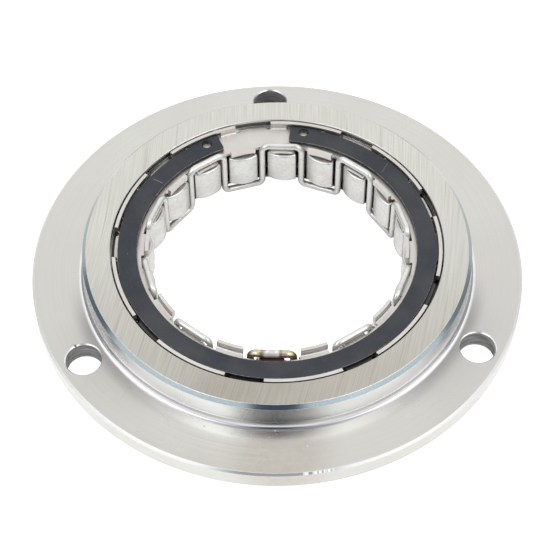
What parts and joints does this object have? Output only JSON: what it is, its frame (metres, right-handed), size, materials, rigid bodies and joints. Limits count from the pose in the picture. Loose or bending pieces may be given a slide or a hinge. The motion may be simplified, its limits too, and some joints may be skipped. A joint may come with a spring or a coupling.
{
  "type": "starter clutch",
  "caption": "One-way sprag clutch: flanged steel outer race with sprags in a sheet-steel cage, a zig-zag wire spring and a black snap ring.",
  "frame": {"origin": "on the clutch's axis at the rear register's face, the lowest face of the part", "axes": "+Z along the axis towards the boss, the side that the starter gear's hub enters; the first screw hole is on +Y"},
  "size_m": [0.114, 0.114, 0.0149],
  "materials": {
    "machined_steel": "turned and ground, bare",
    "cage_sheet": "pressed sheet, satin",
    "black_spring_steel": "blackened spring steel",
    "spring_wire": "bright drawn wire",
    "sprag_steel": "hardened, tumbled"
  },
  "bodies": {
    "outer_race": {"outer_race": "machined_steel"},
    "sprag_unit": {"sprag_cage": "cage_sheet", "snap_ring": "black_spring_steel", "energizing_spring": "spring_wire"},
    "sprag_01": {"sprag_01": "sprag_steel"},
    "sprag_02": {"sprag_02": "sprag_steel"},
    "sprag_03": {"sprag_03": "sprag_steel"},
    "sprag_04": {"sprag_04": "sprag_steel"},
    "sprag_05": {"sprag_05": "sprag_steel"},
    "sprag_06": {"sprag_06": "sprag_steel"},
    "sprag_07": {"sprag_07": "sprag_steel"},
    "sprag_08": {"sprag_08": "sprag_steel"},
    "sprag_09": {"sprag_09": "sprag_steel"},
    "sprag_10": {"sprag_10": "sprag_steel"},
    "sprag_11": {"sprag_11": "sprag_steel"},
    "sprag_12": {"sprag_12": "sprag_steel"},
    "sprag_13": {"sprag_13": "sprag_steel"},
    "sprag_14": {"sprag_14": "sprag_steel"},
    "sprag_15": {"sprag_15": "sprag_steel"},
    "sprag_16": {"sprag_16": "sprag_steel"},
    "sprag_17": {"sprag_17": "sprag_steel"},
    "sprag_18": {"sprag_18": "sprag_steel"},
    "sprag_19": {"sprag_19": "sprag_steel"},
    "sprag_20": {"sprag_20": "sprag_steel"}
  },
  "joints": [
    {"name": "unit_turn", "type": "hinge", "parent": "outer_race", "child": "sprag_unit", "pos_m": [0, 0, 0.00745], "axis": [0, 0, 1], "continuous": true},
    {"name": "sprag_01_tilt", "type": "hinge", "parent": "sprag_unit", "child": "sprag_01", "pos_m": [0.00232, 0.03233, 0.00745], "axis": [0, 0, 1], "range_deg": [0, 10], "stiffness_Nm_per_rad": 0.02},
    {"name": "sprag_02_tilt", "type": "hinge", "parent": "sprag_unit", "child": "sprag_02", "pos_m": [-0.00779, 0.03146, 0.00745], "axis": [0, 0, 1], "range_deg": [0, 10], "stiffness_Nm_per_rad": 0.02},
    {"name": "sprag_03_tilt", "type": "hinge", "parent": "sprag_unit", "child": "sprag_03", "pos_m": [-0.01713, 0.02752, 0.00745], "axis": [0, 0, 1], "range_deg": [0, 10], "stiffness_Nm_per_rad": 0.02},
    {"name": "sprag_04_tilt", "type": "hinge", "parent": "sprag_unit", "child": "sprag_04", "pos_m": [-0.02479, 0.02088, 0.00745], "axis": [0, 0, 1], "range_deg": [0, 10], "stiffness_Nm_per_rad": 0.02},
    {"name": "sprag_05_tilt", "type": "hinge", "parent": "sprag_unit", "child": "sprag_05", "pos_m": [-0.03003, 0.01219, 0.00745], "axis": [0, 0, 1], "range_deg": [0, 10], "stiffness_Nm_per_rad": 0.02},
    {"name": "sprag_06_tilt", "type": "hinge", "parent": "sprag_unit", "child": "sprag_06", "pos_m": [-0.03233, 0.00232, 0.00745], "axis": [0, 0, 1], "range_deg": [0, 10], "stiffness_Nm_per_rad": 0.02},
    {"name": "sprag_07_tilt", "type": "hinge", "parent": "sprag_unit", "child": "sprag_07", "pos_m": [-0.03146, -0.00779, 0.00745], "axis": [0, 0, 1], "range_deg": [0, 10], "stiffness_Nm_per_rad": 0.02},
    {"name": "sprag_08_tilt", "type": "hinge", "parent": "sprag_unit", "child": "sprag_08", "pos_m": [-0.02752, -0.01713, 0.00745], "axis": [0, 0, 1], "range_deg": [0, 10], "stiffness_Nm_per_rad": 0.02},
    {"name": "sprag_09_tilt", "type": "hinge", "parent": "sprag_unit", "child": "sprag_09", "pos_m": [-0.02088, -0.02479, 0.00745], "axis": [0, 0, 1], "range_deg": [0, 10], "stiffness_Nm_per_rad": 0.02},
    {"name": "sprag_10_tilt", "type": "hinge", "parent": "sprag_unit", "child": "sprag_10", "pos_m": [-0.01219, -0.03003, 0.00745], "axis": [0, 0, 1], "range_deg": [0, 10], "stiffness_Nm_per_rad": 0.02},
    {"name": "sprag_11_tilt", "type": "hinge", "parent": "sprag_unit", "child": "sprag_11", "pos_m": [-0.00232, -0.03233, 0.00745], "axis": [0, 0, 1], "range_deg": [0, 10], "stiffness_Nm_per_rad": 0.02},
    {"name": "sprag_12_tilt", "type": "hinge", "parent": "sprag_unit", "child": "sprag_12", "pos_m": [0.00779, -0.03146, 0.00745], "axis": [0, 0, 1], "range_deg": [0, 10], "stiffness_Nm_per_rad": 0.02},
    {"name": "sprag_13_tilt", "type": "hinge", "parent": "sprag_unit", "child": "sprag_13", "pos_m": [0.01713, -0.02752, 0.00745], "axis": [0, 0, 1], "range_deg": [0, 10], "stiffness_Nm_per_rad": 0.02},
    {"name": "sprag_14_tilt", "type": "hinge", "parent": "sprag_unit", "child": "sprag_14", "pos_m": [0.02479, -0.02088, 0.00745], "axis": [0, 0, 1], "range_deg": [0, 10], "stiffness_Nm_per_rad": 0.02},
    {"name": "sprag_15_tilt", "type": "hinge", "parent": "sprag_unit", "child": "sprag_15", "pos_m": [0.03003, -0.01219, 0.00745], "axis": [0, 0, 1], "range_deg": [0, 10], "stiffness_Nm_per_rad": 0.02},
    {"name": "sprag_16_tilt", "type": "hinge", "parent": "sprag_unit", "child": "sprag_16", "pos_m": [0.03233, -0.00232, 0.00745], "axis": [0, 0, 1], "range_deg": [0, 10], "stiffness_Nm_per_rad": 0.02},
    {"name": "sprag_17_tilt", "type": "hinge", "parent": "sprag_unit", "child": "sprag_17", "pos_m": [0.03146, 0.00779, 0.00745], "axis": [0, 0, 1], "range_deg": [0, 10], "stiffness_Nm_per_rad": 0.02},
    {"name": "sprag_18_tilt", "type": "hinge", "parent": "sprag_unit", "child": "sprag_18", "pos_m": [0.02752, 0.01713, 0.00745], "axis": [0, 0, 1], "range_deg": [0, 10], "stiffness_Nm_per_rad": 0.02},
    {"name": "sprag_19_tilt", "type": "hinge", "parent": "sprag_unit", "child": "sprag_19", "pos_m": [0.02088, 0.02479, 0.00745], "axis": [0, 0, 1], "range_deg": [0, 10], "stiffness_Nm_per_rad": 0.02},
    {"name": "sprag_20_tilt", "type": "hinge", "parent": "sprag_unit", "child": "sprag_20", "pos_m": [0.01219, 0.03003, 0.00745], "axis": [0, 0, 1], "range_deg": [0, 10], "stiffness_Nm_per_rad": 0.02}
  ],
  "couplings": [
    {"joint": "sprag_02_tilt", "follows": "sprag_01_tilt", "ratio": 1},
    {"joint": "sprag_03_tilt", "follows": "sprag_01_tilt", "ratio": 1},
    {"joint": "sprag_04_tilt", "follows": "sprag_01_tilt", "ratio": 1},
    {"joint": "sprag_05_tilt", "follows": "sprag_01_tilt", "ratio": 1},
    {"joint": "sprag_06_tilt", "follows": "sprag_01_tilt", "ratio": 1},
    {"joint": "sprag_07_tilt", "follows": "sprag_01_tilt", "ratio": 1},
    {"joint": "sprag_08_tilt", "follows": "sprag_01_tilt", "ratio": 1},
    {"joint": "sprag_09_tilt", "follows": "sprag_01_tilt", "ratio": 1},
    {"joint": "sprag_10_tilt", "follows": "sprag_01_tilt", "ratio": 1},
    {"joint": "sprag_11_tilt", "follows": "sprag_01_tilt", "ratio": 1},
    {"joint": "sprag_12_tilt", "follows": "sprag_01_tilt", "ratio": 1},
    {"joint": "sprag_13_tilt", "follows": "sprag_01_tilt", "ratio": 1},
    {"joint": "sprag_14_tilt", "follows": "sprag_01_tilt", "ratio": 1},
    {"joint": "sprag_15_tilt", "follows": "sprag_01_tilt", "ratio": 1},
    {"joint": "sprag_16_tilt", "follows": "sprag_01_tilt", "ratio": 1},
    {"joint": "sprag_17_tilt", "follows": "sprag_01_tilt", "ratio": 1},
    {"joint": "sprag_18_tilt", "follows": "sprag_01_tilt", "ratio": 1},
    {"joint": "sprag_19_tilt", "follows": "sprag_01_tilt", "ratio": 1},
    {"joint": "sprag_20_tilt", "follows": "sprag_01_tilt", "ratio": 1}
  ]
}
